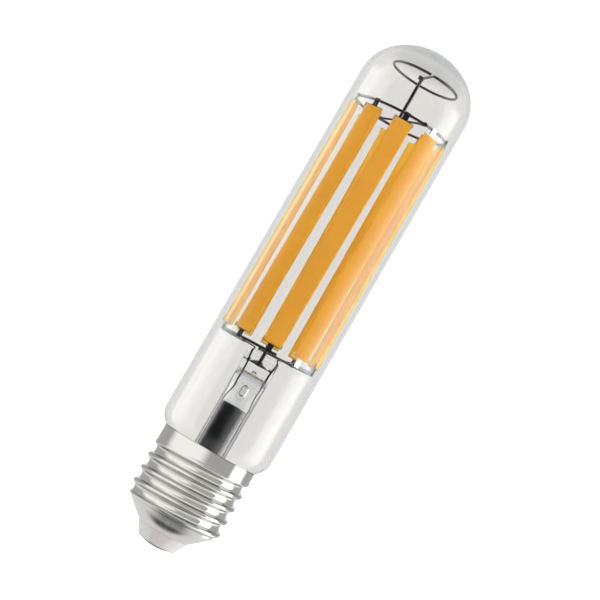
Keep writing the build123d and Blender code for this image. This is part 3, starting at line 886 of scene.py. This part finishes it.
# The contact's plate is painted dark: painted shade for the dark line at the lamp's foot.
contact_metal = spotted_material("plated_contact", (0.10, 0.097, 0.092), (0.17, 0.166, 0.157), 600, 0.3, 1.0)
disc = [(0, -0.4), (1.2, -0.37), (2.3, -0.22), (contact_flat, 0.02)]
disc += [(contact_flat + 0.3, 0.06), (contact_flat + 0.6, 0.17), (contact_radius, 0.34)]
disc += [(contact_radius - 0.05, insulator_foot), (rivet_radius, insulator_foot)]
disc += [(rivet_radius, rivet_top), (0, rivet_top)]
disc_rings = [ring(r, z) for r, z in disc]
mesh_piece("contact", skin(disc_rings), contact_metal, "contact_metal", "centre_contact")


# Floor, light and camera.
# A white studio with a pale floor, a tall strip light on each side of the lamp, a fill light over the
# camera and a white surround. A tent round the lamp only shows in what metal and glass mirror: it holds
# painted reflections, with tones painted separately for the glass, the cap, the mount and the capacitor.
floor_level = -40.0
floor_mesh = bpy.data.meshes.new("floor")
floor_rings = [[Vector((0, 0, floor_level))]] + [ring(r, floor_level, 64) for r in (300, 900, 2500)]
floor_skin = skin(list(reversed(floor_rings)))
floor_mesh.from_pydata(floor_skin[0], [], floor_skin[1])
floor = bpy.data.objects.new("floor", floor_mesh)
bpy.context.scene.collection.objects.link(floor)


def seen_ray(shader):
    """1 on the rays by which the surround is seen: straight, in a mirror image or through glass."""
    path = add_node(shader, "ShaderNodeLightPath").outputs
    mirrored = maths(shader, "MAXIMUM", path["Is Camera Ray"], path["Is Glossy Ray"])
    return maths(shader, "MAXIMUM", mirrored, path["Is Transmission Ray"])


def blended(shader, share, first, second):
    """Two shaders, mixed by a share."""
    mix = add_node(shader, "ShaderNodeMixShader", Fac=share)
    feed(mix.inputs[1], first)
    feed(mix.inputs[2], second)
    return mix.outputs["Shader"]


floor_lift = 0.45
floor_paint, floor_shader = new_material("pale_floor", Base_Color=(0.86, 0.86, 0.86, 1), Roughness=0.9)
set_inputs(floor_shader, Specular_IOR_Level=0.1, Emission_Color=(1, 1, 1, 1))
set_inputs(floor_shader, Emission_Strength=maths(floor_shader, "MULTIPLY", seen_ray(floor_shader), floor_lift))
from_below = add_node(floor_shader, "ShaderNodeNewGeometry").outputs["Backfacing"]
clear = add_node(floor_shader, "ShaderNodeBsdfTransparent").outputs["BSDF"]
floor_look = blended(floor_shader, from_below, floor_shader.outputs["BSDF"], clear)
set_inputs(floor_paint.node_tree.nodes["Material Output"], Surface=floor_look)
floor_mesh.materials.append(floor_paint)

world = bpy.data.worlds.new("studio")
bpy.context.scene.world = world
world.use_nodes = True
surround = world.node_tree.nodes["Background"]
set_inputs(surround, Color=(1, 1, 1, 1), Strength=scaled(surround, seen_ray(surround), 0.0, 1.0, 0.75, 1.0))

strip_distance = 0.75


def strip_light(name, azimuth, width, bottom, top, radiance):
    """A soft strip that lights the lamp from an azimuth counted from the camera towards +X, in metres.

    It can't be seen through the glass: rays that have crossed glass and not yet been scattered pass it by.
    """
    light = bpy.data.lights.new(name, "AREA")
    light.shape = "RECTANGLE"
    light.size = width
    light.size_y = top - bottom
    light.energy = 4 * radiance * width * (top - bottom)
    light.use_nodes = True
    glow = light.node_tree.nodes["Emission"]
    path = add_node(glow, "ShaderNodeLightPath").outputs
    unscattered = maths(glow, "LESS_THAN", path["Diffuse Depth"], 0.5)
    behind_glass = maths(glow, "MULTIPLY", path["Transmission Depth"], unscattered)
    set_inputs(glow, Strength=maths(glow, "LESS_THAN", behind_glass, 0.5))
    strip = bpy.data.objects.new(name, light)
    strip.location = around(azimuth, strip_distance, (bottom + top) / 2)
    strip.rotation_mode = "QUATERNION"
    strip.rotation_quaternion = (-around(azimuth, 1, 0)).to_track_quat("-Z", "Y")
    strip.visible_camera = False
    strip.visible_glossy = False
    bpy.context.scene.collection.objects.link(strip)


strip_light("left_strip", -97, 0.65, 0.03, 0.55, 4.5)
strip_light("right_strip", 89, 0.55, -0.03, 0.55, 6.2)
strip_light("front_fill", 0, 0.60, 0.45, 0.85, 11.5)


def ramp(value, low, high):
    """0 below the low value and 1 above the high one, eased between them. They may run backwards."""
    share = min(max((value - low) / (high - low), 0), 1)
    return share * share * (3 - 2 * share)


def band(azimuth, start, full, fade, end):
    """A strip seen from the lamp: it fades in from a start to full, and out from a fade to its end."""
    return ramp(azimuth, start, full) * ramp(azimuth, end, fade)


def glass_tone(azimuth, radius, height):
    """Painted reflection for the glass: a dark camera side, a strip on each side, white behind and a grey roof."""
    turn = abs(azimuth)
    tone = 0.05 + 0.4 * ramp(turn, 105, 118) + 0.33 * ramp(turn, 126, 136) + 0.2 * ramp(turn, 160, 172)
    tone = max(tone, 1.55 * band(azimuth, -62, -106, -116, -126), 2.1 * band(azimuth, 48, 106, 108, 117))
    roof = 0.45 + 0.30 * ramp(turn, 115, 140)
    tone += (roof - tone) * ramp(height, 0.26, 0.36)
    if height < 0:
        tone += (0.45 - tone) * ramp(radius, 0.20, 0.03)
    return tone


def under_cap_tone(azimuth, radius):
    """Painted reflection for the cap's cone close under it: grey, white to the right, and crescents of painted
    shade in front.
    """
    turn = abs(azimuth)
    edge = 0.030 + 0.00045 * (azimuth - 66)
    tone = 0.80 + 0.6 * ramp(azimuth, 64, 70) * ramp(azimuth, 150, 138) * ramp(radius, edge - 0.004, edge)
    tone += (0.08 - tone) * ramp(turn, 62, 50) * ramp(radius, 0.012, 0.017) * ramp(radius, 0.044, 0.030)
    place = around(azimuth, radius, 0) / MM
    # A curved band in front under the cap, for the crescents of painted shade.
    crescent_depth = place.y - 0.022 * place.x * place.x
    grey_crescent = ramp(crescent_depth, -3.2, -4.8) * ramp(crescent_depth, -18, -12) * ramp(place.x, -28, -4) * ramp(place.x, 30, 14)
    tone += (0.26 - tone) * grey_crescent
    dark_crescent = ramp(crescent_depth, -4.2, -2.2) * ramp(crescent_depth, 3.4, 1.2) * ramp(abs(place.x), 32, 10)
    return tone + (0.06 - tone) * dark_crescent


def cap_tone(azimuth, radius, height):
    """Painted reflection for the cap: white to the left and overhead, grey to the right, and the right strip."""
    turn = abs(azimuth)
    tone = 0.46 + 0.5 * ramp(turn, 150, 164)
    strip = 2.0 * band(azimuth, 67, 74, 106, 114)
    tone = max(tone, 1.15 * band(azimuth, -120, -80, -14, 24), strip)
    if height > 0.2:
        tone += (0.5 - tone) * ramp(azimuth, -45, -5) * ramp(azimuth, 70, 60) * ramp(height, 0.20, 0.32)
        tone += (0.55 - tone) * ramp(turn, 50, 75) * ramp(height, 0.36, 0.52)
        tone += (1.1 - tone) * ramp(radius, 0.56, 0.42) * ramp(height, 0.5, 0.6)
    if height < -0.03:
        near = under_cap_tone(azimuth, radius)
        tone = near + (tone - near) * ramp(radius, 0.09, 0.20)
    return tone


def mount_tone(azimuth, radius, height):
    """Painted reflection for the wires and clips through the glass: dark in front, the two strips, and white
    behind.
    """
    front = ramp(abs(azimuth), 125, 95)
    tone = 0.02 * front + (1 - front)
    tone = max(tone, 2.0 * band(azimuth, -76, -88, -118, -130), 2.5 * band(azimuth, 56, 68, 114, 126))
    if height < 0:
        return tone + (0.02 + 0.5 * (1 - front) - tone) * ramp(radius, 0.35, 0.10)
    return tone + (0.05 + 0.4 * (1 - front) - tone) * ramp(height, 0.40, 0.65)


def can_tone(azimuth, radius, height):
    """Painted reflection for the capacitor's sleeve through both glasses: dark, and lighter towards the right."""
    return 0.06 + 0.018 * min(max(azimuth, 0), 75) + 0.9 * ramp(azimuth, 75, 120) + 0.35 * ramp(-azimuth, 60, 140)


tent_floor = -0.035
tent_radius = 0.62
tent_rows = [(0.00002, tent_floor)] + [(0.002 * step, tent_floor) for step in range(1, 18)]
tent_rows += [(r, tent_floor) for r in (0.04, 0.05, 0.06, 0.075, 0.09, 0.11, 0.16, 0.22, 0.30, 0.40, 0.52)]
tent_rows += [(tent_radius, 0.004 * step - 0.008) for step in range(9)]
tent_rows += [(tent_radius, 0.04 + 0.02 * step) for step in range(19)]
tent_rows += [(0.55, 0.55), (0.40, 0.66), (0.30, 0.70), (0.20, 0.73), (0.10, 0.745), (0.001, 0.75)]
tent_columns = 120
tent_places = []
for radius, height in tent_rows:
    for column in range(tent_columns):
        tent_places.append((-180 + 360 * column / tent_columns, radius, height))
tent_faces = []
for row in range(len(tent_rows) - 1):
    for column in range(tent_columns):
        a, b = row * tent_columns + column, row * tent_columns + (column + 1) % tent_columns
        tent_faces.append((a, b, b + tent_columns, a + tent_columns))
tent_mesh = bpy.data.meshes.new("tent")
tent_mesh.from_pydata([around(*place) for place in tent_places], [], tent_faces)
tone_makers = (glass_tone, cap_tone, mount_tone, can_tone)
for tone_at in tone_makers:
    tones = [tone_at(*place) for place in tent_places]
    tent_mesh.attributes.new(tone_at.__name__, "FLOAT", "POINT").data.foreach_set("value", tones)
tent = bpy.data.objects.new("tent", tent_mesh)
tent.visible_camera = False
tent.visible_diffuse = False
tent.visible_shadow = False
bpy.context.scene.collection.objects.link(tent)

mount_crossings = 2.5
stem_crossings = 4.5
can_crossings = 6.5
stem_share = 0.45
# The tent's shader: emission seen only in reflections, with tones painted for whichever part mirrors it and dimmed
# behind the stem's glass.
painted_reflections = bpy.data.materials.new("painted_reflections")
painted_reflections.use_nodes = True
painted_reflections.node_tree.nodes.clear()
tent_out = painted_reflections.node_tree.nodes.new("ShaderNodeOutputMaterial")
tent_path = add_node(tent_out, "ShaderNodeLightPath").outputs


def past(count):
    """1 on rays that have crossed more faces of glass than a count."""
    return maths(tent_out, "GREATER_THAN", tent_path["Transmission Depth"], count)


def reflection_mix(share, first, second):
    """A tone between two others by a share."""
    return add_node(tent_out, "ShaderNodeMix", Factor=share, A=first, B=second).outputs["Result"]


glass_seen, cap_seen, mount_seen, can_seen = [
    add_node(tent_out, "ShaderNodeAttribute", attribute_name=maker.__name__).outputs["Fac"] for maker in tone_makers
]
outer_tone = reflection_mix(tent_path["Is Singular Ray"], cap_seen, glass_seen)
stem_dimming = scaled(tent_out, past(stem_crossings), 0.0, 1.0, 1.0, stem_share)
inner_tone = maths(tent_out, "MULTIPLY", mount_seen, stem_dimming)
tent_tone = reflection_mix(past(mount_crossings), outer_tone, inner_tone)
tent_tone = reflection_mix(past(can_crossings), tent_tone, can_seen)
tent_glow = add_node(tent_out, "ShaderNodeEmission", Strength=tent_tone).outputs["Emission"]
tent_clear = add_node(tent_out, "ShaderNodeBsdfTransparent").outputs["BSDF"]
mirrored = maths(tent_out, "GREATER_THAN", tent_path["Glossy Depth"], 0.5)
set_inputs(tent_out, Surface=blended(tent_out, mirrored, tent_clear, tent_glow))
painted_reflections.cycles.emission_sampling = "NONE"
tent_mesh.materials.append(painted_reflections)

bpy.context.scene.view_settings.view_transform = "Standard"

camera_place = Vector((0.76, -443.0, 45.0))
camera_aim = Vector((0.76, 0.0, 71.2))
camera_roll = math.radians(30.05)
focal_pixels = 1760.0
image_pixels = 600.0
camera_data = bpy.data.cameras.new("camera")
camera_data.sensor_width = 36.0
camera_data.lens = focal_pixels / image_pixels * camera_data.sensor_width
camera_data.clip_start = 0.01
camera_data.clip_end = 20.0
camera = bpy.data.objects.new("camera", camera_data)
forward = (camera_aim - camera_place).normalized()
level_right = forward.cross(Vector((0, 0, 1))).normalized()
level_up = level_right.cross(forward)
image_right = level_right * math.cos(camera_roll) + level_up * math.sin(camera_roll)
image_up = level_up * math.cos(camera_roll) - level_right * math.sin(camera_roll)
camera.matrix_world = Matrix.Translation(camera_place * MM) @ (
    Matrix((image_right, image_up, -forward)).transposed().to_4x4()
)
bpy.context.scene.collection.objects.link(camera)
bpy.context.scene.camera = camera
